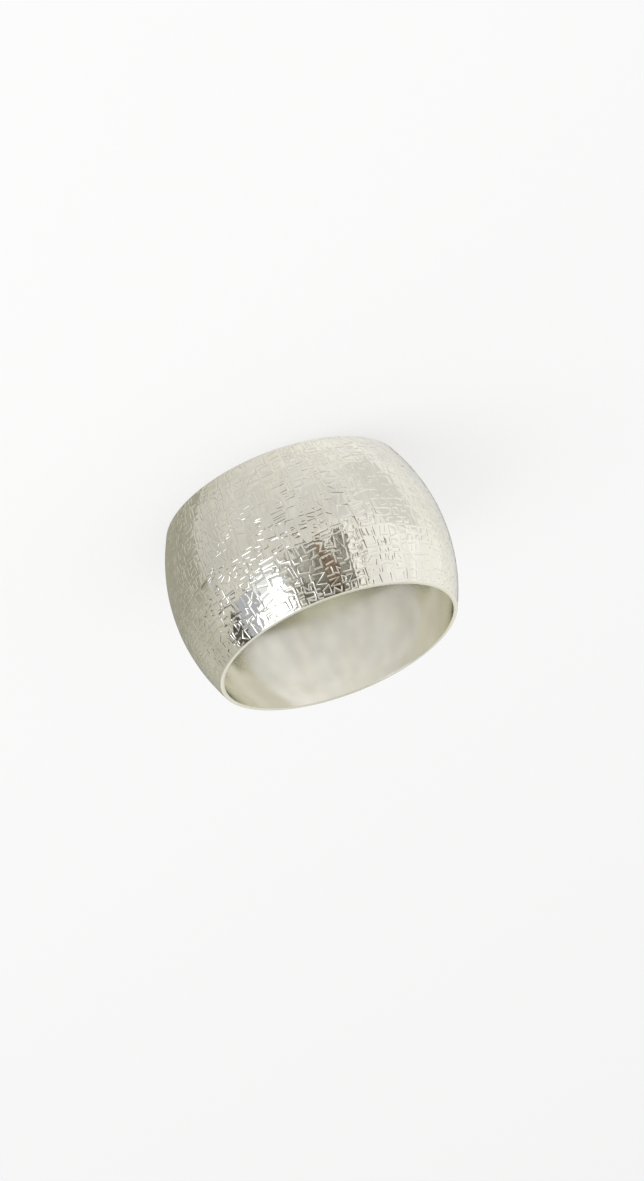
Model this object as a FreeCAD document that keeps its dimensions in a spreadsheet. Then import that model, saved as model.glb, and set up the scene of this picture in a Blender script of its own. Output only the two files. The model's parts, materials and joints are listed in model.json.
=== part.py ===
import FreeCAD, Part
import math
import os
import Sketcher

# Napkin ring: one piece of spun sheet, a barrel with an open mouth at each end.
# It stands on one rim. Z is the axis of the barrel, and the origin is the centre of that rim.

os.makedirs("parts", exist_ok=True)
doc = FreeCAD.newDocument("NapkinRing")

# Driving dimensions in millimetres

sheet = doc.addObject("Spreadsheet::Sheet", "Dimensions")
dimensions = [
    ("bellyDiameter", 45.0, "outside, at mid height, where the barrel is widest"),
    ("rimInset", 3.05, "how far the outer corner of each rim is drawn in from the belly"),
    ("bandHeight", 26.4, "from rim to rim"),
    ("lipHeight", 4.0, "straight run from the end of the belly's curve to the rim"),
    ("wallThickness", 0.6, "sheet gauge"),
    ("edgeBreak", 0.12, "how far the trimmed edge is broken back from each corner"),
]
for row, (alias, value, note) in enumerate(dimensions, start=1):
    sheet.set(f"A{row}", alias)
    sheet.set(f"B{row}", str(value))
    sheet.set(f"C{row}", note)
    sheet.setAlias(f"B{row}", alias)
doc.recompute()

# Sketch helpers

START, END, CENTRE = 1, 2, 3
X_AXIS, ORIGIN = -1, -1


def originFeature(body, role):
    return next(item for item in body.Origin.OriginFeatures if item.Role == role)


def newSketch(body, name, role):
    sketch = body.newObject("Sketcher::SketchObject", name)
    sketch.AttachmentSupport = [(originFeature(body, role), "")]
    sketch.MapMode = "FlatFace"
    return sketch


def constrain(sketch, *rule):
    return sketch.addConstraint(Sketcher.Constraint(*rule))


def dimension(sketch, name, expression, *rule):
    index = constrain(sketch, *rule)
    sketch.renameConstraint(index, name)
    sketch.setExpression(f"Constraints.{name}", expression)


def point(x, y):
    return FreeCAD.Vector(x, y, 0)


# Upper half of the wall section: belly arc, straight lip, broken corner and flat rim,
# outside and inside. The first positions are near enough for the constraints to settle them.


def drawWall(sketch, arcCentre, arcRadius, lean, sharpCorner, breakSide):
    # one surface of the wall, from mid height to where its corner meets the flat rim
    edgeBreak = sheet.edgeBreak
    circle = Part.Circle(arcCentre, FreeCAD.Vector(0, 0, 1), arcRadius)
    alongLip = point(-math.sin(lean), math.cos(lean))
    lipEnd = sharpCorner - alongLip * edgeBreak
    rimEnd = sharpCorner + point(breakSide * edgeBreak, 0)
    belly = sketch.addGeometry(Part.ArcOfCircle(circle, 0, lean), False)
    bellyEnd = sketch.Geometry[belly].EndPoint
    lip = sketch.addGeometry(Part.LineSegment(bellyEnd, lipEnd), False)
    corner = sketch.addGeometry(Part.LineSegment(lipEnd, rimEnd), False)
    sharp = sketch.addGeometry(Part.Point(sharpCorner), True)
    constrain(sketch, "Tangent", belly, END, lip, START)
    constrain(sketch, "Coincident", lip, END, corner, START)
    constrain(sketch, "PointOnObject", sharp, START, lip)
    return belly, lip, corner, sharp


def drawHalfSection(sketch):
    bellyRadius = sheet.bellyDiameter / 2
    rimInset = sheet.rimInset
    halfHeight = sheet.bandHeight / 2
    wall = sheet.wallThickness
    curvedHeight = halfHeight - sheet.lipHeight
    lean = math.atan(rimInset / (curvedHeight / 2 + sheet.lipHeight))
    arcRadius = curvedHeight / math.sin(lean)
    arcCentre = point(bellyRadius - arcRadius, 0)
    outerCorner = point(bellyRadius - rimInset, halfHeight)
    innerCorner = outerCorner - point(wall / math.cos(lean), 0)

    outer = drawWall(sketch, arcCentre, arcRadius, lean, outerCorner, -1)
    inner = drawWall(sketch, arcCentre, arcRadius - wall, lean, innerCorner, 1)
    rimEnds = [sketch.Geometry[side[2]].EndPoint for side in (outer, inner)]
    middleEnds = [sketch.Geometry[side[0]].StartPoint for side in (inner, outer)]
    rim = sketch.addGeometry(Part.LineSegment(*rimEnds), False)
    middle = sketch.addGeometry(Part.LineSegment(*middleEnds), False)

    for (belly, lip, corner, sharp), rimEnd, middleEnd in ((outer, START, END), (inner, END, START)):
        constrain(sketch, "Coincident", corner, END, rim, rimEnd)
        constrain(sketch, "Coincident", belly, START, middle, middleEnd)
        constrain(sketch, "PointOnObject", belly, START, X_AXIS)
        constrain(sketch, "PointOnObject", sharp, START, rim)
    constrain(sketch, "Horizontal", rim)
    constrain(sketch, "PointOnObject", outer[0], CENTRE, X_AXIS)
    constrain(sketch, "Coincident", inner[0], CENTRE, outer[0], CENTRE)
    constrain(sketch, "Parallel", inner[1], outer[1])

    belly, lip, corner, sharp = outer
    sizes = [
        ("bellyRadius", "bellyDiameter / 2", "DistanceX", ORIGIN, START, belly, START, bellyRadius),
        ("rimInset", "rimInset", "DistanceX", sharp, START, belly, START, rimInset),
        ("halfHeight", "bandHeight / 2", "DistanceY", ORIGIN, START, sharp, START, halfHeight),
        ("lip", "lipHeight", "DistanceY", belly, END, sharp, START, sheet.lipHeight),
        ("wall", "wallThickness", "DistanceX", middle, START, middle, END, wall),
    ]
    for name, cell, *rule in sizes:
        dimension(sketch, name, f"Dimensions.{cell}", *rule)
    for name, (belly, lip, corner, sharp) in (("outer", outer), ("inner", inner)):
        for end, reach in ((START, "Lip"), (END, "Rim")):
            rule = ("Distance", sharp, START, corner, end, sheet.edgeBreak)
            dimension(sketch, f"{name}{reach}Break", "Dimensions.edgeBreak", *rule)


# The band: the half section turned about Z, then mirrored to the other rim

band = doc.addObject("PartDesign::Body", "Band")
band.Label = "ring_band"
band.setExpression("Placement.Base.z", "Dimensions.bandHeight / 2")

section = newSketch(band, "HalfSection", "XZ_Plane")
drawHalfSection(section)
doc.recompute()

upper = band.newObject("PartDesign::Revolution", "UpperHalf")
upper.Profile = section
upper.ReferenceAxis = (section, ["V_Axis"])
upper.Angle = 360
doc.recompute()

whole = band.newObject("PartDesign::Mirrored", "LowerHalf")
whole.Originals = [upper]
whole.MirrorPlane = (originFeature(band, "XY_Plane"), [""])
band.Tip = whole
doc.recompute()

# Checks, then one STEP file for each piece

for item in doc.Objects:
    if "Invalid" in item.State or "Error" in item.State:
        raise RuntimeError(f"{item.Label} failed: {item.State}")

for piece in [band]:
    shape = piece.Shape
    if shape.isNull() or not shape.isValid() or len(shape.Solids) != 1:
        raise RuntimeError(f"{piece.Label} is not one valid solid")
    shape.exportStep(f"parts/{piece.Label}.step")
    box = shape.BoundBox
    size = f"{box.XLength:.2f} x {box.YLength:.2f} x {box.ZLength:.2f} mm"
    print(f"{piece.Label}: {size}, lowest point {box.ZMin:.3f}, volume {shape.Volume:.1f} mm3")
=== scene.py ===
import json
import math
import random

import bpy
import numpy
from mathutils import Matrix, Vector
from mathutils.geometry import delaunay_2d_cdt

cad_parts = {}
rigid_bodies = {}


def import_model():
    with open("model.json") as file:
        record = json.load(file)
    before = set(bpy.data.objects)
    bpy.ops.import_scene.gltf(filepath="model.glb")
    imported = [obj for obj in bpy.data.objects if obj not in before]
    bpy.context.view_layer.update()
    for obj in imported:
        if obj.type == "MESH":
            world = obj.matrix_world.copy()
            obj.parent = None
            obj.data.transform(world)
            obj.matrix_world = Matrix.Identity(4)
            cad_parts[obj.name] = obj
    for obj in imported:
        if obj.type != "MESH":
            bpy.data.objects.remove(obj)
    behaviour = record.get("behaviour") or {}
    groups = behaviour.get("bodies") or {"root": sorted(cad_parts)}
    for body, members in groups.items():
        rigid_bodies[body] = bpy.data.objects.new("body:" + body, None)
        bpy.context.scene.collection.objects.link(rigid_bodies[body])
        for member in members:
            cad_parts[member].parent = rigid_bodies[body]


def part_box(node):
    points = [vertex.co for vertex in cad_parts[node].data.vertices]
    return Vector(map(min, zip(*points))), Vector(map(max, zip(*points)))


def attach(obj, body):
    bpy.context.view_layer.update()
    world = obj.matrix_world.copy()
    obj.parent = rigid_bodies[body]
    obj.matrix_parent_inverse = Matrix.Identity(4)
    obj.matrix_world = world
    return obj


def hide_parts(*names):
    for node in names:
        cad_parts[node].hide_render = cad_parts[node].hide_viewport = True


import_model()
scene = bpy.context.scene
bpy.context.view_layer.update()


# Small helpers for building node trees

def addNode(tree, kind, inputs=None, **settings):
    made = tree.nodes.new(kind)
    for name, value in settings.items():
        setattr(made, name, value)
    for socket, value in (inputs or {}).items():
        if isinstance(value, bpy.types.NodeSocket):
            tree.links.new(value, made.inputs[socket])
        else:
            made.inputs[socket].default_value = value
    return made


def calc(tree, operation, *terms, clamp=False):
    made = addNode(tree, "ShaderNodeMath", dict(enumerate(terms)), operation=operation, use_clamp=clamp)
    return made.outputs[0]


def remap(tree, value, fromMin, fromMax, toMin=0.0, toMax=1.0, smooth=True):
    made = addNode(
        tree, "ShaderNodeMapRange",
        {"Value": value, "From Min": fromMin, "From Max": fromMax, "To Min": toMin, "To Max": toMax},
        interpolation_type="SMOOTHSTEP" if smooth else "LINEAR",
    )
    return made.outputs["Result"]


def mixColours(tree, factor, first, second, blend="MIX"):
    made = addNode(tree, "ShaderNodeMix", data_type="RGBA", blend_type=blend)
    for socket, value in ((0, factor), (6, first), (7, second)):
        if isinstance(value, bpy.types.NodeSocket):
            tree.links.new(value, made.inputs[socket])
        else:
            made.inputs[socket].default_value = value
    return made.outputs[2]


def noiseAt(tree, place, scale, detail=2.0, roughness=0.5):
    made = addNode(tree, "ShaderNodeTexNoise", {
        "Vector": place, "Scale": scale, "Detail": detail, "Roughness": roughness,
    })
    return made.outputs["Fac"]


def greyOf(tree, value):
    return addNode(tree, "ShaderNodeCombineColor", {0: value, 1: value, 2: value}).outputs[0]


def aroundAxis(tree, radius, angle, height):
    return addNode(tree, "ShaderNodeCombineXYZ", {
        "X": calc(tree, "MULTIPLY", radius, calc(tree, "COSINE", angle)),
        "Y": calc(tree, "MULTIPLY", radius, calc(tree, "SINE", angle)),
        "Z": height,
    }).outputs[0]


def newMaterial(name):
    made = bpy.data.materials.new(name)
    made.use_nodes = True
    made.node_tree.nodes.clear()
    return made


# Band: a barrel of thin sheet, its outside stamped with short strokes

band = {
    "rimInset": 0.00305,  # how far each rim is drawn in from the belly
    "wall": 0.00060,
    "edgeRound": 0.00013,  # rolled-over corner of the trimmed edge
    "edgeSteps": 4,
    "insideSteps": 22,
    "columns": 30,  # stamped tiles around the band
    "rows": 6,
    "tileKinds": 60,
    "tileSplits": 12,  # border segments of one tile
    "blockSizes": (0.36, 0.62),  # a block longer than this, in tiles, is cut again
    "blockShare": 0.35,  # least share that a cut leaves
    "figureReach": 0.98,  # share of its block that a figure fills
    "figureTurn": 0.11,  # radians that a figure may stand askew
    "pointJitter": 0.075,  # how far each corner of a figure may stray, in blocks
    "strokeWidth": 0.00028,
    "strokeDepth": 0.000082,
    "mitreLimit": 0.5,  # sharper corners of a stroke's outline are cut back
    "borderGap": 0.006,  # plain strip kept along a tile's border, in tiles
    "borderLevel": 0.0005,  # points this near to the border, in tiles, stay level
    "plainPoints": 8,  # points along a tile's side that let the plain metal dip
    "plainJitter": 0.2,
    "plainGap": 0.8,  # how far those points stay beside a stroke, in half widths
    "cutPrecision": 1e-5,
    "tileMerge": 0.0005,  # distances within which borders join, in tiles and in metres
    "seamMerge": 2e-6,
    "wander": 0.00065,  # how far the figures drift from their tiles
    "wanderScale": 190.0,
    "wanderFade": 0.003,  # from the rim, so that the figures keep to it
    "unevenness": 0.00004,  # shallow dents of the sheet
    "unevenScale": 330.0,
    "dipFade": 0.0010,
    "noiseFloor": 0.28,  # the noise seldom falls below this, and dips count from it
    "creaseDepth": 0.00008,  # long faint creases, a little askew to the axis
    "creaseScale": 300.0,
    "creaseSlant": 0.22,
    "creaseStretch": 0.14,
    "seed": 42,
}

low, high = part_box("ring_band")
bellyRadius = (high.x - low.x) / 2
bandHeight = high.z - low.z
# the outside is one arc from rim to rim, and this is how far it leans over at the rims
lean = 2 * math.atan(band["rimInset"] / (bandHeight / 2))
arcRadius = bandHeight / 2 / math.sin(lean)
arcCentre = bellyRadius - arcRadius
wallRun = arcRadius * lean - band["edgeRound"]  # from mid height to the rolled corner
tileWidth = math.tau * bellyRadius / band["columns"]
tileHeight = 2 * wallRun / band["rows"]
print(f"band lean {math.degrees(lean):.1f} degrees")
print(f"tiles {tileWidth * 1000:.2f} x {tileHeight * 1000:.2f} mm")


def wallPoint(run, inset=0.0):
    # radius and height on the wall, run metres from mid height, inset metres below the outside
    turn = run / arcRadius
    reach = arcRadius - inset
    return arcCentre + reach * math.cos(turn), reach * math.sin(turn) + bandHeight / 2


# Figures that are stamped: each is a list of paths in a block one unit wide. A path is closed
# where it ends as it began.
figures = [
    [[(-0.36, 0.36), (-0.37, -0.35), (0.36, -0.36), (0.35, 0.36), (-0.36, 0.36)]],
    [[(-0.22, 0.37), (-0.38, -0.35), (0.38, -0.34), (0.20, 0.36), (-0.22, 0.37)]],
    [[(-0.36, 0.34), (-0.34, -0.36), (0.33, -0.35), (0.36, 0.34)]],
    [[(-0.36, 0.36), (-0.36, -0.36), (0.36, -0.34), (0.34, 0.02)]],
    [[(-0.38, 0.36), (-0.35, -0.36), (0.37, -0.34)]],
    [[(-0.36, -0.36), (-0.34, 0.34), (0.36, 0.36)], [(0.34, -0.36), (0.34, 0.04)]],
    [[(-0.36, 0.37), (-0.34, -0.35)], [(0.34, -0.38), (0.34, 0.37)]],
    [[(-0.36, 0.38), (0.02, -0.37), (0.34, 0.36)]],
    [[(-0.36, -0.37), (-0.32, 0.37), (0.32, -0.36), (0.37, 0.37)]],
    [[(-0.36, 0.37), (0.06, -0.37)], [(0.37, 0.36), (0.30, -0.36)]],
    [[(-0.37, 0.35), (0.36, 0.36), (0.36, -0.34)], [(-0.36, -0.02), (-0.34, -0.37)]],
    [[(-0.37, -0.36), (0.37, -0.34)], [(-0.30, 0.36), (-0.32, 0.00)], [(0.34, 0.38), (0.30, 0.04)]],
    [[(-0.37, 0.00), (-0.36, -0.36), (0.36, -0.36), (0.35, 0.36), (-0.10, 0.37)]],
    [[(-0.38, 0.28), (0.38, 0.34)], [(0.02, 0.08), (-0.04, -0.38)]],
    [[(-0.38, 0.22), (0.36, 0.34)], [(-0.34, -0.34), (0.36, -0.22)]],
    [[(-0.36, 0.30), (0.34, 0.36)], [(-0.30, -0.30), (0.36, -0.36), (0.30, 0.10)]],
    [[(-0.18, 0.38), (-0.34, 0.02), (0.30, 0.06), (0.12, -0.38)]],
]


def offsetPath(path, offset):
    # outlines at an even distance from a path: one round an open path, two beside a closed one
    closed = path[0] == path[-1]
    points = [Vector(p) for p in (path[:-1] if closed else path)]
    count = len(points)
    sides = []
    for index, point in enumerate(points):
        before = point - points[index - 1] if closed or index > 0 else points[1] - point
        after = points[(index + 1) % count] - point if closed or index < count - 1 else before
        before, after = before.normalized(), after.normalized()
        across = Vector((-before.y - after.y, before.x + after.x)).normalized()
        reach = offset / max(band["mitreLimit"], across.dot(Vector((-after.y, after.x))))
        lengthen = 0.0
        if not closed:
            lengthen = offset * ((index == count - 1) - (index == 0))
        sides.append((point + after * lengthen + across * reach, point + after * lengthen - across * reach))
    left, right = [side[0] for side in sides], [side[1] for side in sides]
    outlines = [left, right] if closed else [left + right[::-1]]
    limit = 0.5 - band["borderGap"]
    return [[Vector([max(-limit, min(limit, part)) for part in p]) for p in outline] for outline in outlines]


def depthsAt(points, paths, halfWidth):
    # how deep each point of a tile lies in the strokes, from 0 beside them to 1 at their middle
    gaps = numpy.full(len(points), numpy.inf)
    for path in paths:
        for a, b in zip(numpy.array(path), numpy.array(path[1:])):
            along = b - a
            share = numpy.clip((points - a) @ along / (along @ along), 0, 1)
            gaps = numpy.minimum(gaps, numpy.linalg.norm(points - a - share[:, None] * along, axis=1))
    return 1 - gaps / halfWidth


def cutBlocks(chance, x, y, width, height):
    # a tile falls into uneven blocks, one for each figure
    if max(width, height) < chance.uniform(*band["blockSizes"]):
        return [(x, y, width, height)]
    share = chance.uniform(band["blockShare"], 1 - band["blockShare"])
    if width >= height:
        first, rest = width * share, width * (1 - share)
        return cutBlocks(chance, x, y, first, height) + cutBlocks(chance, x + first, y, rest, height)
    first, rest = height * share, height * (1 - share)
    return cutBlocks(chance, x, y, width, first) + cutBlocks(chance, x, y + first, width, rest)


def placeFigure(chance, figure, block):
    # a figure turned by quarter turns and set a little askew in its block, with loose corners
    x, y, width, height = block
    limit = 0.5 - band["strokeWidth"] / 2 / tileWidth - band["borderGap"]
    turn = chance.randrange(4) * math.pi / 2
    askew = chance.uniform(-band["figureTurn"], band["figureTurn"])
    placed = []
    for path in figure:
        points = []
        for point in path:
            spot = [part + chance.uniform(-band["pointJitter"], band["pointJitter"]) for part in point]
            spot = Matrix.Rotation(turn, 2) @ Vector(spot) * band["figureReach"]
            spot = Matrix.Rotation(askew, 2) @ Vector((spot.x * width, spot.y * height))
            spot += Vector((x + width / 2, y + height / 2))
            points.append(tuple(max(-limit, min(limit, part)) for part in spot))
        if path[0] == path[-1]:
            points[-1] = points[0]
        placed.append(points)
    return placed


def stampTile(name, chance, halfWidth):
    # one flat tile whose strokes are sunk by up to 1, with borders that match every other tile
    paths = []
    for block in cutBlocks(chance, -0.5, -0.5, 1, 1):
        paths += placeFigure(chance, chance.choice(figures), block)
    splits = band["tileSplits"]
    ring = [(step / splits - 0.5, -0.5) for step in range(splits)]
    ring += [(0.5, step / splits - 0.5) for step in range(splits)]
    ring += [(0.5 - step / splits, 0.5) for step in range(splits)]
    ring += [(-0.5, 0.5 - step / splits) for step in range(splits)]
    outlines = [ring]
    for path in paths:
        outlines += offsetPath(path, halfWidth) + offsetPath(path, halfWidth / 2)
    points, edges = [], []
    for outline in outlines:
        first = len(points)
        points += [Vector(p) for p in outline]
        edges += [(first + i, first + (i + 1) % len(outline)) for i in range(len(outline))]
    for path in paths:
        first = len(points)
        points += [Vector(p) for p in path]
        edges += [(first + i, first + i + 1) for i in range(len(path) - 1)]
    plain, stray = band["plainPoints"], band["plainJitter"]
    spots = numpy.array([
        [(part + chance.uniform(-stray, stray)) / plain - 0.5 for part in (column, row)]
        for column in range(1, plain) for row in range(1, plain)
    ])
    beside = depthsAt(spots, paths, halfWidth) < -band["plainGap"]
    points += [Vector(spot) for spot in spots[beside]]
    cut = delaunay_2d_cdt(points, edges, [], 1, band["cutPrecision"])
    flat, faces = numpy.array([tuple(point) for point in cut[0]]), cut[2]
    sunk = numpy.clip(depthsAt(flat, paths, halfWidth), 0, 1)
    sunk[numpy.abs(flat).max(axis=1) > 0.5 - band["borderLevel"]] = 0
    mesh = bpy.data.meshes.new(name)
    mesh.from_pydata([(x, y, -depth) for (x, y), depth in zip(flat.tolist(), sunk.tolist())], [], faces)
    return bpy.data.objects.new(name, mesh)


def stampTiles():
    chance = random.Random(band["seed"])
    tiles = bpy.data.collections.new("stampTiles")
    halfWidth = band["strokeWidth"] / 2 / tileWidth
    for index in range(band["tileKinds"]):
        tiles.objects.link(stampTile(f"stampTile{index:02d}", chance, halfWidth))
    return tiles


def closingSection():
    # from the outer wall's upper end over the rim, down the inside and back under the lower rim
    steps, edgeRound = band["edgeSteps"], band["edgeRound"]
    runs = []
    for side in (1, -1):
        start = Vector(wallPoint(side * wallRun))
        outerCorner = Vector(wallPoint(side * (wallRun + edgeRound)))
        top = side * bandHeight / 2 + bandHeight / 2
        innerCorner = Vector((outerCorner.x - band["wall"] / math.cos(lean), top))
        innerStart = innerCorner + (start - outerCorner)
        rimOuter = Vector((outerCorner.x - edgeRound, top))
        rimInner = Vector((innerCorner.x + edgeRound, top))
        run = []
        for a, corner, b in ((start, outerCorner, rimOuter), (rimInner, innerCorner, innerStart)):
            for step in range(steps + 1):
                share = step / steps
                run.append(a.lerp(corner, share).lerp(corner.lerp(b, share), share))
        runs.append(run)
    upper, lower = runs
    innerRun = wallRun - math.tan(lean) * band["wall"]
    inside = []
    for step in range(1, band["insideSteps"]):
        share = 1 - 2 * step / band["insideSteps"]
        inside.append(Vector(wallPoint(share * innerRun, band["wall"])))
    return upper + inside + lower[::-1]


def sectionObject():
    points = closingSection()
    mesh = bpy.data.meshes.new("closingSection")
    mesh.from_pydata([(p.x, 0, p.y) for p in points], [(i, i + 1) for i in range(len(points) - 1)], [])
    return bpy.data.objects.new("closingSection", mesh)


def bandTree():
    tree = bpy.data.node_groups.new("StampedBand", "GeometryNodeTree")
    sockets = {
        "Columns": "NodeSocketInt", "Rows": "NodeSocketInt", "Tile Splits": "NodeSocketInt",
        "Belly Radius": "NodeSocketFloat", "Arc Radius": "NodeSocketFloat", "Arc Centre": "NodeSocketFloat",
        "Wall Run": "NodeSocketFloat", "Mid Height": "NodeSocketFloat",
        "Stroke Depth": "NodeSocketFloat", "Wander": "NodeSocketFloat", "Wander Scale": "NodeSocketFloat",
        "Unevenness": "NodeSocketFloat", "Uneven Scale": "NodeSocketFloat",
        "Crease Depth": "NodeSocketFloat", "Crease Scale": "NodeSocketFloat",
        "Crease Slant": "NodeSocketFloat", "Crease Stretch": "NodeSocketFloat",
        "Seed": "NodeSocketInt", "Tile Kinds": "NodeSocketInt", "Tiles": "NodeSocketCollection",
        "Section": "NodeSocketObject", "Outside": "NodeSocketMaterial", "Inside": "NodeSocketMaterial",
    }
    for name, kind in sockets.items():
        tree.interface.new_socket(name, in_out="INPUT", socket_type=kind)
    tree.interface.new_socket("Band", in_out="OUTPUT", socket_type="NodeSocketGeometry")
    given = addNode(tree, "NodeGroupInput").outputs
    position = addNode(tree, "GeometryNodeInputPosition").outputs[0]
    index = addNode(tree, "GeometryNodeInputIndex").outputs[0]

    # a random tile, turned by quarter turns, at each place
    lastColumn = calc(tree, "SUBTRACT", given["Columns"], 1)
    lastRow = calc(tree, "SUBTRACT", given["Rows"], 1)
    places = addNode(tree, "GeometryNodeMeshGrid", {
        "Size X": lastColumn, "Size Y": lastRow,
        "Vertices X": given["Columns"], "Vertices Y": given["Rows"],
    }).outputs["Mesh"]
    tiles = addNode(tree, "GeometryNodeCollectionInfo", {
        "Collection": given["Tiles"], "Separate Children": True, "Reset Children": True,
    }).outputs[0]
    pick = addNode(tree, "FunctionNodeRandomValue", data_type="INT")
    tree.links.new(calc(tree, "SUBTRACT", given["Tile Kinds"], 1), pick.inputs[5])
    pick.inputs[4].default_value = 0
    tree.links.new(given["Seed"], pick.inputs["Seed"])
    turn = addNode(tree, "FunctionNodeRandomValue", data_type="INT")
    turn.inputs[4].default_value = 0
    turn.inputs[5].default_value = 3
    tree.links.new(calc(tree, "ADD", given["Seed"], 1), turn.inputs["Seed"])
    quarter = calc(tree, "MULTIPLY", turn.outputs[2], math.pi / 2)
    spin = addNode(tree, "ShaderNodeCombineXYZ", {"Z": quarter}).outputs[0]
    placed = addNode(tree, "GeometryNodeInstanceOnPoints", {
        "Points": places, "Instance": tiles, "Pick Instance": True,
        "Instance Index": pick.outputs[2], "Rotation": spin,
    }).outputs[0]
    sheet = addNode(tree, "GeometryNodeRealizeInstances", {"Geometry": placed}).outputs[0]
    sheet = addNode(tree, "GeometryNodeMergeByDistance", {
        "Geometry": sheet, "Distance": band["tileMerge"],
    }).outputs[0]

    # flat places on the sheet, in metres round the belly and up the wall
    flat = addNode(tree, "ShaderNodeSeparateXYZ", {0: position}).outputs
    circumference = calc(tree, "MULTIPLY", given["Belly Radius"], math.tau)
    across = calc(tree, "DIVIDE", calc(tree, "MULTIPLY", flat["X"], circumference), given["Columns"])
    fullRun = calc(tree, "MULTIPLY", given["Wall Run"], 2.0)
    up = calc(tree, "DIVIDE", calc(tree, "MULTIPLY", flat["Y"], fullRun), given["Rows"])
    toEdge = calc(tree, "SUBTRACT", given["Wall Run"], calc(tree, "ABSOLUTE", up))

    def onBelly(distance, height):
        # a place on a plain cylinder, so that a noise read there meets itself behind
        angle = calc(tree, "DIVIDE", distance, given["Belly Radius"])
        return aroundAxis(tree, given["Belly Radius"], angle, height)

    def dips(place, scale, depth, detail):
        # how far the sheet lies below its highest places
        above = calc(tree, "SUBTRACT", noiseAt(tree, place, scale, detail), band["noiseFloor"], clamp=True)
        return calc(tree, "MULTIPLY", above, depth)

    # the figures drift, except at the rims
    around = onBelly(across, up)
    drift = addNode(tree, "ShaderNodeTexNoise", {
        "Vector": around, "Scale": given["Wander Scale"], "Detail": 1.0,
    })
    drifts = addNode(tree, "ShaderNodeSeparateXYZ", {0: drift.outputs["Color"]}).outputs
    inward = remap(tree, toEdge, 0.0, band["wanderFade"])
    span = calc(tree, "MULTIPLY", calc(tree, "MULTIPLY", given["Wander"], 2.0), inward)
    acrossAt = calc(tree, "MULTIPLY_ADD", calc(tree, "SUBTRACT", drifts["X"], 0.5), span, across)
    upAt = calc(tree, "MULTIPLY_ADD", calc(tree, "SUBTRACT", drifts["Y"], 0.5), span, up)

    # shallow dents, and long creases that run a little askew to the axis
    dents = dips(around, given["Uneven Scale"], given["Unevenness"], 1.0)
    slanted = calc(tree, "SUBTRACT", across, calc(tree, "MULTIPLY", up, given["Crease Slant"]))
    creased = onBelly(slanted, calc(tree, "MULTIPLY", up, given["Crease Stretch"]))
    creases = dips(creased, given["Crease Scale"], given["Crease Depth"], 2.0)
    inward = remap(tree, toEdge, 0.0, band["dipFade"])
    dip = calc(tree, "MULTIPLY", calc(tree, "ADD", dents, creases), inward)

    # bend the sheet to the barrel
    theta = calc(tree, "DIVIDE", acrossAt, given["Belly Radius"])
    tilt = calc(tree, "DIVIDE", upAt, given["Arc Radius"])
    stroke = calc(tree, "MULTIPLY", flat["Z"], given["Stroke Depth"])
    reach = calc(tree, "ADD", given["Arc Radius"], calc(tree, "SUBTRACT", stroke, dip))
    radius = calc(tree, "ADD", calc(tree, "MULTIPLY", reach, calc(tree, "COSINE", tilt)), given["Arc Centre"])
    height = calc(tree, "ADD", calc(tree, "MULTIPLY", reach, calc(tree, "SINE", tilt)), given["Mid Height"])
    bent = aroundAxis(tree, radius, theta, height)
    sheet = addNode(tree, "GeometryNodeStoreNamedAttribute", {
        "Geometry": sheet, "Name": "stamped", "Value": calc(tree, "MULTIPLY", flat["Z"], -1.0),
    }, data_type="FLOAT", domain="POINT").outputs[0]
    outside = addNode(tree, "GeometryNodeSetPosition", {"Geometry": sheet, "Position": bent}).outputs[0]
    outside = addNode(tree, "GeometryNodeSetMaterial", {
        "Geometry": outside, "Material": given["Outside"],
    }).outputs[0]

    # rims and inside: the closing section carried round
    section = addNode(tree, "GeometryNodeObjectInfo", {"Object": given["Section"]}).outputs["Geometry"]
    counted = addNode(tree, "GeometryNodeAttributeDomainSize", {"Geometry": section}, component="MESH")
    sectionCount = counted.outputs["Point Count"]
    segments = calc(tree, "MULTIPLY", given["Columns"], given["Tile Splits"])
    lathe = addNode(tree, "GeometryNodeMeshGrid", {
        "Size X": 1.0, "Size Y": 1.0,
        "Vertices X": calc(tree, "ADD", segments, 1), "Vertices Y": sectionCount,
    }).outputs["Mesh"]
    column = calc(tree, "FLOOR", calc(tree, "DIVIDE", calc(tree, "ADD", index, 0.5), sectionCount))
    rowIndex = calc(tree, "SUBTRACT", index, calc(tree, "MULTIPLY", column, sectionCount))
    sampled = addNode(tree, "GeometryNodeSampleIndex", data_type="FLOAT_VECTOR", domain="POINT")
    tree.links.new(section, sampled.inputs["Geometry"])
    tree.links.new(position, sampled.inputs["Value"])
    tree.links.new(rowIndex, sampled.inputs["Index"])
    cut = addNode(tree, "ShaderNodeSeparateXYZ", {0: sampled.outputs[0]}).outputs
    share = calc(tree, "SUBTRACT", calc(tree, "DIVIDE", column, segments), 0.5)
    carried = aroundAxis(tree, cut["X"], calc(tree, "MULTIPLY", share, math.tau), cut["Z"])
    inside = addNode(tree, "GeometryNodeSetPosition", {"Geometry": lathe, "Position": carried}).outputs[0]
    inside = addNode(tree, "GeometryNodeSetMaterial", {
        "Geometry": inside, "Material": given["Inside"],
    }).outputs[0]

    joined = addNode(tree, "GeometryNodeJoinGeometry")
    tree.links.new(inside, joined.inputs[0])
    tree.links.new(outside, joined.inputs[0])
    whole = addNode(tree, "GeometryNodeMergeByDistance", {
        "Geometry": joined.outputs[0], "Distance": band["seamMerge"],
    }).outputs[0]
    whole = addNode(tree, "GeometryNodeRealizeInstances", {"Geometry": whole}).outputs[0]
    whole = addNode(tree, "GeometryNodeSetShadeSmooth", {"Geometry": whole}).outputs[0]
    addNode(tree, "NodeGroupOutput", {0: whole})
    return tree


def setInputs(modifier, values):
    for item in modifier.node_group.interface.items_tree:
        if item.in_out == "INPUT" and item.name in values:
            modifier[item.identifier] = values[item.name]


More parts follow.
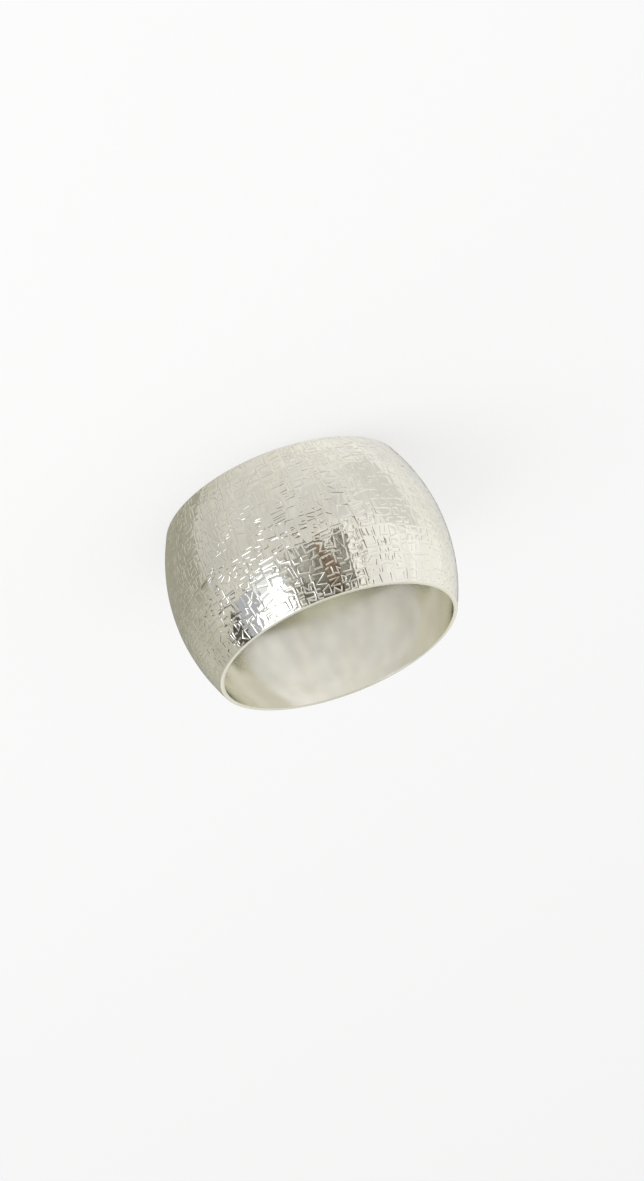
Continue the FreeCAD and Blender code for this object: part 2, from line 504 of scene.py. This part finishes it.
def weightNormals(mesh):
    # larger faces count for more, so that the plain metal between strokes stays flat
    count = len(mesh.vertices)
    mesh.calc_loop_triangles()
    triangles = numpy.empty(len(mesh.loop_triangles) * 3, dtype=numpy.int32)
    mesh.loop_triangles.foreach_get("vertices", triangles)
    triangles = triangles.reshape(-1, 3)
    points = numpy.empty(count * 3)
    mesh.vertices.foreach_get("co", points)
    points = points.reshape(-1, 3)
    corners = points[triangles]
    crosses = numpy.cross(corners[:, 1] - corners[:, 0], corners[:, 2] - corners[:, 0])
    normals = numpy.zeros((count, 3))
    for corner in range(3):
        numpy.add.at(normals, triangles[:, corner], crosses)
    normals /= numpy.linalg.norm(normals, axis=1, keepdims=True) + 1e-30
    mesh.normals_split_custom_set_from_vertices(normals.tolist())


def makeBand(outsideFinish, insideFinish):
    tiles = stampTiles()
    section = sectionObject()
    holder = bpy.data.objects.new("bandBuild", bpy.data.meshes.new("bandBuild"))
    scene.collection.objects.link(holder)
    modifier = holder.modifiers.new("Stamped band", "NODES")
    modifier.node_group = bandTree()
    setInputs(modifier, {
        "Columns": band["columns"], "Rows": band["rows"], "Tile Splits": band["tileSplits"],
        "Belly Radius": bellyRadius, "Arc Radius": arcRadius, "Arc Centre": arcCentre,
        "Wall Run": wallRun, "Mid Height": bandHeight / 2, "Stroke Depth": band["strokeDepth"],
        "Wander": band["wander"], "Wander Scale": band["wanderScale"],
        "Unevenness": band["unevenness"], "Uneven Scale": band["unevenScale"],
        "Crease Depth": band["creaseDepth"], "Crease Scale": band["creaseScale"],
        "Crease Slant": band["creaseSlant"], "Crease Stretch": band["creaseStretch"],
        "Seed": band["seed"], "Tile Kinds": band["tileKinds"], "Tiles": tiles, "Section": section,
        "Outside": outsideFinish, "Inside": insideFinish,
    })
    evaluated = holder.evaluated_get(bpy.context.evaluated_depsgraph_get())
    mesh = bpy.data.meshes.new_from_object(evaluated)
    bpy.data.objects.remove(holder)
    for tile in list(tiles.objects):
        bpy.data.objects.remove(tile)
    bpy.data.collections.remove(tiles)
    bpy.data.objects.remove(section)
    mesh.name = "stampedBand"
    weightNormals(mesh)
    piece = bpy.data.objects.new("stampedBand", mesh)
    scene.collection.objects.link(piece)
    mesh.calc_loop_triangles()
    print("band triangles", len(mesh.loop_triangles))
    return piece


# Silver: bright plate with a warm cast, a little darker where the strokes are pressed in, partly tarnish and
# partly painted shade

silverPlate = {
    "bright": (0.93, 0.92, 0.82, 1),
    "dull": (0.87, 0.855, 0.75, 1),
    # darker tone at a stroke's middle: partly tarnish, partly painted shade in the hollow
    "strokeTarnishAndShade": (0.86, 0.845, 0.75, 1),
    "strokeShare": 0.6,  # how far the metal takes on that tone at a stroke's middle
    "outsideDulling": (0.55, 0.80, 0.0, 0.6),  # span of the smudges, and how far they dull
    "insideDulling": (0.45, 0.75, 0.1, 0.9),
    "smudgeSpan": (0.35, 0.75),  # span of the smudges over which the roughness changes
    "outsideRoughness": (0.035, 0.09),
    "strokeRoughness": 0.045,
    "scratchRoughness": 0.05,
    "hairScale": 2300.0,  # fine drawn lines along the axis
    "hairStretch": 0.16,
    "hairDepth": 0.000014,
    "insideRoughness": (0.11, 0.17),
    "smudgeScale": 130.0,
    "scratchScale": 900.0,
    "scratchSpan": (0.62, 0.72),
    "scratchRuns": (((0.4, 0.24, 0.68), (1.0, 6.0, 0.5)), ((-0.7, -0.42, -1.19), (0.6, 1.0, 7.0))),
    "spinLines": 5200.0,  # turning marks per metre of height inside
    "spinRoughness": 0.06,
    "spinBump": (0.10, 0.00001),  # strength and height
}


def handledPlateGroup():
    # wear that both finishes share: soft smudges and fine crossing scratches
    group = bpy.data.node_groups.new("handledPlate", "ShaderNodeTree")
    for name, kind in (("Place", "NodeSocketVector"), ("Smudge Scale", "NodeSocketFloat"),
                       ("Scratch Scale", "NodeSocketFloat")):
        group.interface.new_socket(name, in_out="INPUT", socket_type=kind)
    for name in ("Smudge", "Scratch"):
        group.interface.new_socket(name, in_out="OUTPUT", socket_type="NodeSocketFloat")
    given = addNode(group, "NodeGroupInput").outputs
    smudge = noiseAt(group, given["Place"], given["Smudge Scale"], 4.0, 0.6)
    lines = []
    for turns, stretch in silverPlate["scratchRuns"]:
        turned = addNode(group, "ShaderNodeMapping", {
            "Vector": given["Place"], "Rotation": turns, "Scale": stretch,
        }).outputs[0]
        grain = noiseAt(group, turned, given["Scratch Scale"])
        lines.append(remap(group, grain, *silverPlate["scratchSpan"]))
    scratch = calc(group, "MAXIMUM", *lines)
    addNode(group, "NodeGroupOutput", {"Smudge": smudge, "Scratch": scratch})
    return group


def newFinish(name):
    made = newMaterial(name)
    tree = made.node_tree
    place = addNode(tree, "ShaderNodeTexCoord").outputs["Object"]
    wear = addNode(tree, "ShaderNodeGroup", node_tree=handledPlate)
    tree.links.new(place, wear.inputs["Place"])
    wear.inputs["Smudge Scale"].default_value = silverPlate["smudgeScale"]
    wear.inputs["Scratch Scale"].default_value = silverPlate["scratchScale"]
    return made, tree, place, wear.outputs


def finishSilver(tree, colour, roughness, normal):
    shader = addNode(tree, "ShaderNodeBsdfPrincipled", {
        "Base Color": colour, "Metallic": 1.0, "Roughness": roughness, "Normal": normal,
    })
    addNode(tree, "ShaderNodeOutputMaterial", {"Surface": shader.outputs[0]})


def stampedSilver():
    made, tree, place, wear = newFinish("stampedSilver")
    stamped = addNode(tree, "ShaderNodeAttribute", attribute_name="stamped").outputs["Fac"]
    dulled = remap(tree, wear["Smudge"], *silverPlate["outsideDulling"])
    colour = mixColours(tree, dulled, silverPlate["bright"], silverPlate["dull"])
    # the strokes take a darker colour by depth: partly tarnish, partly painted shade
    tarnishAndShadeShare = calc(tree, "MULTIPLY", stamped, silverPlate["strokeShare"])
    colour = mixColours(tree, tarnishAndShadeShare, colour, silverPlate["strokeTarnishAndShade"])
    roughness = remap(tree, wear["Smudge"], *silverPlate["smudgeSpan"], *silverPlate["outsideRoughness"])
    roughness = calc(tree, "MULTIPLY_ADD", wear["Scratch"], silverPlate["scratchRoughness"], roughness)
    roughness = calc(tree, "MULTIPLY_ADD", stamped, silverPlate["strokeRoughness"], roughness)
    drawn = addNode(tree, "ShaderNodeMapping", {
        "Vector": place, "Scale": (1.0, 1.0, silverPlate["hairStretch"]),
    })
    bump = addNode(tree, "ShaderNodeBump", {
        "Strength": 1.0, "Distance": silverPlate["hairDepth"],
        "Height": noiseAt(tree, drawn.outputs[0], silverPlate["hairScale"]),
    })
    finishSilver(tree, colour, roughness, bump.outputs[0])
    return made


def spunSilver():
    made, tree, place, wear = newFinish("spunSilver")
    height = addNode(tree, "ShaderNodeSeparateXYZ", {0: place}).outputs["Z"]
    lines = addNode(tree, "ShaderNodeTexNoise", {
        "W": height, "Scale": silverPlate["spinLines"], "Detail": 2.0,
    }, noise_dimensions="1D").outputs["Fac"]
    dulled = remap(tree, wear["Smudge"], *silverPlate["insideDulling"])
    colour = mixColours(tree, dulled, silverPlate["bright"], silverPlate["dull"])
    roughness = remap(tree, wear["Smudge"], *silverPlate["smudgeSpan"], *silverPlate["insideRoughness"])
    roughness = calc(tree, "MULTIPLY_ADD", lines, silverPlate["spinRoughness"], roughness)
    strength, depth = silverPlate["spinBump"]
    bump = addNode(tree, "ShaderNodeBump", {"Strength": strength, "Distance": depth, "Height": lines})
    finishSilver(tree, colour, roughness, bump.outputs[0])
    return made


handledPlate = handledPlateGroup()


# Studio: pale floor, one soft lamp, and what the silver mirrors. Azimuths run from the camera's
# side, 0, towards +X; elevations from the horizon. Tones are what a mirror there would show.

studio = {
    "floorColour": (0.96, 0.96, 0.955, 1),
    "floorGlow": 0.60,
    "floorReach": 4.0,
    "lampPower": 1.15,
    "lampSize": (0.5, 0.35),
    "lampPlace": (0.35, -0.30, 0.45),
    "lampAim": (0, 0, 0.01),
    "worldLight": 0.75,
}

surroundings = {
    "lowTones": [  # floor, by azimuth
        (-180, (0.60, 0.60, 0.59)), (-165, (0.74, 0.74, 0.73)),
        (-140, (0.84, 0.84, 0.83)), (-110, (0.885, 0.885, 0.875)),
        (-80, (0.85, 0.845, 0.835)), (-35, (0.76, 0.75, 0.735)), (0, (0.72, 0.71, 0.695)),
        (30, (0.71, 0.70, 0.68)), (62, (0.66, 0.65, 0.625)), (80, (0.61, 0.60, 0.57)),
        (100, (0.57, 0.56, 0.53)), (178, (0.57, 0.57, 0.54)),
    ],
    "highTones": [  # walls, by azimuth
        (-180, (0.52, 0.52, 0.49)), (-172, (0.62, 0.62, 0.61)), (-130, (0.88, 0.88, 0.87)),
        (-90, (0.96, 0.96, 0.96)), (-44, (0.85, 0.84, 0.83)), (0, (0.70, 0.69, 0.66)),
        (82, (0.62, 0.61, 0.57)), (100, (0.52, 0.51, 0.46)), (116, (0.50, 0.49, 0.43)),
        (140, (0.53, 0.525, 0.47)), (178, (0.52, 0.52, 0.48)),
    ],
    # olive floor on the far right: azimuths where it begins on the horizon and where it ends
    # behind, degrees that its near edge leans for each degree down, softness of that edge, tone
    "oliveSide": (78.0, -164.0, 0.48, 2.5, (0.395, 0.387, 0.325)),
    "floorFade": (-62, -20, 0.88),  # elevations over which the floor falls off, and to what share
    "horizon": (-23, -4),  # elevations between which the floor gives way to the walls
    "ceiling": (30, 56, (0.80, 0.80, 0.75)),  # elevations over which the walls give way to it
    "streaks": 0.11,  # how far the tones vary in soft upright streaks
    "streakStretch": (5.0, 5.0, 0.6),
    "streakScale": 1.6,
    "noiseSpan": (0.3, 0.7),
    "tints": ((1.01, 1.0, 0.98), (0.995, 0.985, 1.02)),
    "tintScale": 0.9,
    "tintSpan": (0.38, 0.62),
    # cards: azimuths, elevation of the foot at each end, top, tone; each covers those before it
    "cards": {
        "greyPatch": ((-104, -71), (-46, -46), -12, (0.68, 0.67, 0.66)),
        "greyPeak": ((-37, -23), (-12, -6), 34, (0.29, 0.28, 0.255)),
        "darkPeak": ((-16, -4), (-6, -9), 34, (0.25, 0.24, 0.22)),
        "darkCard": ((-24, 18), (0, -1), 34, (0.25, 0.24, 0.215)),
        "darkShoulder": ((-4, 18), (-5, -2), 34, (0.36, 0.35, 0.325)),
        "brownCard": ((-25, -10), (8, -6), 34, (0.205, 0.148, 0.11)),
        "darkTop": ((-10, 14), (17, 14), 34, (0.15, 0.145, 0.125)),
        "greyTop": ((-37, -25), (20, 20), 34, (0.15, 0.145, 0.13)),
        "brownTop": ((-25, -10), (21, 21), 34, (0.10, 0.08, 0.06)),
        "paleStrip": ((-43, -37), (-12, -12), 34, (0.95, 0.94, 0.91)),
        "darkPost": ((-45, -43), (-10, -10), 28, (0.20, 0.19, 0.17)),
        "darkSide": ((68, 90), (0, 6), 40, (0.09, 0.08, 0.075)),
        "burstFrame": ((21, 72), (-4, 1), 36, (0.44, 0.45, 0.51)),
        "burstGlow": ((24, 47), (-2, 0), 34, (0.84, 0.86, 0.92)),
        "burst": ((24, 60), (3, 16), 34, (2.4, 2.5, 2.7)),
        "paleBehind": ((140, 179), (14, 14), 40, (0.86, 0.85, 0.80)),
        "paleBeyond": ((-179, -140), (14, 14), 40, (0.86, 0.85, 0.80)),
    },
    "cardEdge": 0.9,  # degrees of softness, more at the top
    "cardTopSoftness": 3,
    "cardPatchiness": 0.50,  # how far the dark cards vary
    "patchScale": 17.0,
    "brightCard": 0.5,  # cards with a brighter tone are even
}


def makeFloor():
    mesh = bpy.data.meshes.new("floor")
    reach = studio["floorReach"]
    corners = [(-reach, -reach, 0), (reach, -reach, 0), (reach, reach, 0), (-reach, reach, 0)]
    mesh.from_pydata(corners, [], [(0, 1, 2, 3)])
    floor = bpy.data.objects.new("floor", mesh)
    scene.collection.objects.link(floor)
    made = newMaterial("paleFloor")
    tree = made.node_tree
    diffuse = addNode(tree, "ShaderNodeBsdfDiffuse", {"Color": studio["floorColour"]}).outputs[0]
    plain = addNode(tree, "ShaderNodeEmission", {"Color": (1, 1, 1, 1), "Strength": 1.0}).outputs[0]
    both = addNode(tree, "ShaderNodeMixShader", {0: studio["floorGlow"], 1: diffuse, 2: plain}).outputs[0]
    addNode(tree, "ShaderNodeOutputMaterial", {"Surface": both})
    mesh.materials.append(made)
    floor.visible_glossy = False


def toneRamp(tree, azimuth, tones):
    made = addNode(tree, "ShaderNodeValToRGB", {"Fac": remap(tree, azimuth, -180, 180, smooth=False)})
    elements = made.color_ramp.elements
    for index, (angle, tone) in enumerate(tones):
        place = (angle + 180) / 360
        element = elements[index] if index < len(elements) else elements.new(place)
        element.position = place
        element.color = (*tone, 1)
    return made.outputs["Color"]


def makeWorld():
    world = bpy.data.worlds.new("studio")
    scene.world = world
    world.use_nodes = True
    tree = world.node_tree
    tree.nodes.clear()
    direction = addNode(tree, "ShaderNodeTexCoord").outputs["Generated"]
    part = addNode(tree, "ShaderNodeSeparateXYZ", {0: direction}).outputs
    azimuth = calc(tree, "ARCTAN2", part["X"], calc(tree, "MULTIPLY", part["Y"], -1.0))
    azimuth = calc(tree, "MULTIPLY", azimuth, 180 / math.pi)
    elevation = calc(tree, "MULTIPLY", calc(tree, "ARCSINE", part["Z"]), 180 / math.pi)

    def within(value, span, soft):
        rise = remap(tree, value, span[0] - soft, span[0] + soft)
        fall = remap(tree, value, span[1] - soft, span[1] + soft)
        return calc(tree, "SUBTRACT", rise, fall)

    def varied(place, scale, detail, amount):
        # a grey that varies about 1, to multiply a tone by
        noise = noiseAt(tree, place, scale, detail)
        noise = remap(tree, noise, *surroundings["noiseSpan"], 1 - amount, 1 + amount, smooth=False)
        return greyOf(tree, noise)

    def background(colour, strength=1.0):
        return addNode(tree, "ShaderNodeBackground", {"Color": colour, "Strength": strength}).outputs[0]

    def patch(seen, card):
        across, feet, top, tone = card
        soft = surroundings["cardEdge"]
        foot = remap(tree, azimuth, *across, *feet)
        above = remap(tree, calc(tree, "SUBTRACT", elevation, foot), -soft, soft)
        topSoft = soft * surroundings["cardTopSoftness"]
        below = remap(tree, elevation, top - topSoft, top + topSoft, 1.0, 0.0)
        mask = calc(tree, "MULTIPLY", calc(tree, "MULTIPLY", above, below), within(azimuth, across, soft))
        if max(tone) > surroundings["brightCard"]:
            return mixColours(tree, mask, seen, (*tone, 1))
        return mixColours(tree, mask, seen, mixColours(tree, 1.0, patchColour, (*tone, 1), "MULTIPLY"))

    low = toneRamp(tree, azimuth, surroundings["lowTones"])
    begins, ends, leaning, soft, tone = surroundings["oliveSide"]
    leant = calc(tree, "MULTIPLY_ADD", elevation, leaning, azimuth)
    onRight = calc(tree, "GREATER_THAN", azimuth, 0.0)
    side = calc(tree, "MULTIPLY", remap(tree, leant, begins - soft, begins + soft), onRight)
    behind = remap(tree, azimuth, ends - soft, ends + soft, 1.0, 0.0)
    low = mixColours(tree, calc(tree, "MAXIMUM", side, behind), low, (*tone, 1))
    begins, ends, share = surroundings["floorFade"]
    fall = remap(tree, elevation, begins, ends, 1.0, share, smooth=False)
    low = mixColours(tree, 1.0, low, greyOf(tree, fall), "MULTIPLY")
    high = toneRamp(tree, azimuth, surroundings["highTones"])
    seen = mixColours(tree, remap(tree, elevation, *surroundings["horizon"]), low, high)
    stretched = addNode(tree, "ShaderNodeCombineXYZ", {
        axis: calc(tree, "MULTIPLY", part[axis], stretch)
        for axis, stretch in zip("XYZ", surroundings["streakStretch"])
    }).outputs[0]
    begins, ends, tone = surroundings["ceiling"]
    seen = mixColours(tree, remap(tree, elevation, begins, ends), seen, (*tone, 1))
    streaks = varied(stretched, surroundings["streakScale"], 3.0, surroundings["streaks"])
    seen = mixColours(tree, 1.0, seen, streaks, "MULTIPLY")
    cloud = noiseAt(tree, stretched, surroundings["tintScale"], 1.0)
    warm, cool = surroundings["tints"]
    tint = mixColours(tree, remap(tree, cloud, *surroundings["tintSpan"]), (*warm, 1), (*cool, 1))
    seen = mixColours(tree, 1.0, seen, tint, "MULTIPLY")

    patchColour = varied(direction, surroundings["patchScale"], 2.0, surroundings["cardPatchiness"])
    for card in surroundings["cards"].values():
        seen = patch(seen, card)

    path = addNode(tree, "ShaderNodeLightPath").outputs
    white = (1, 1, 1, 1)
    lit = background(white, studio["worldLight"])
    mirrored = background(seen)
    shown = addNode(tree, "ShaderNodeMixShader", {0: path["Is Glossy Ray"], 1: lit, 2: mirrored}).outputs[0]
    shown = addNode(tree, "ShaderNodeMixShader", {
        0: path["Is Camera Ray"], 1: shown, 2: background(white),
    }).outputs[0]
    addNode(tree, "ShaderNodeOutputWorld", {"Surface": shown})


def makeLamp():
    data = bpy.data.lights.new("softbox", "AREA")
    data.shape = "RECTANGLE"
    data.size, data.size_y = studio["lampSize"]
    data.energy = studio["lampPower"]
    lamp = bpy.data.objects.new("softbox", data)
    scene.collection.objects.link(lamp)
    lamp.location = studio["lampPlace"]
    lamp.rotation_euler = (Vector(studio["lampAim"]) - lamp.location).to_track_quat("-Z", "Y").to_euler()
    lamp.visible_glossy = False


# Camera: looks down on the open rim, rolled over so that the rim points to the lower right

view = {
    "elevation": 24.0,
    "distance": 0.6556,
    "roll": 180 - 21.23,
    "focalPixels": 4200.0,
    "pictureSize": (644, 1181),
    "bandCentre": (311.4, 574.9),  # pixel where the band's middle stands in the picture
    "clip": (0.01, 20),
}


def makeCamera():
    data = bpy.data.cameras.new("camera")
    width, height = view["pictureSize"]
    data.lens = view["focalPixels"] / height * data.sensor_width
    centre = view["bandCentre"]
    data.shift_x = (width / 2 - centre[0]) / height
    data.shift_y = (centre[1] - height / 2) / height
    data.clip_start, data.clip_end = view["clip"]
    camera = bpy.data.objects.new("camera", data)
    scene.collection.objects.link(camera)
    tilt = math.radians(view["elevation"])
    back = Vector((0, -math.cos(tilt), math.sin(tilt)))
    target = Vector((0, 0, bandHeight / 2))
    facing = (-back).to_track_quat("-Z", "Y").to_matrix().to_4x4()
    rolled = facing @ Matrix.Rotation(math.radians(view["roll"]), 4, "Z")
    camera.matrix_world = Matrix.Translation(target + back * view["distance"]) @ rolled
    scene.camera = camera


scene.view_settings.view_transform = "Standard"
makeCamera()
makeFloor()
makeWorld()
makeLamp()
print("studio ready")

piece = makeBand(stampedSilver(), spunSilver())
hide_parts("ring_band")
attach(piece, "root")
print("band ready")
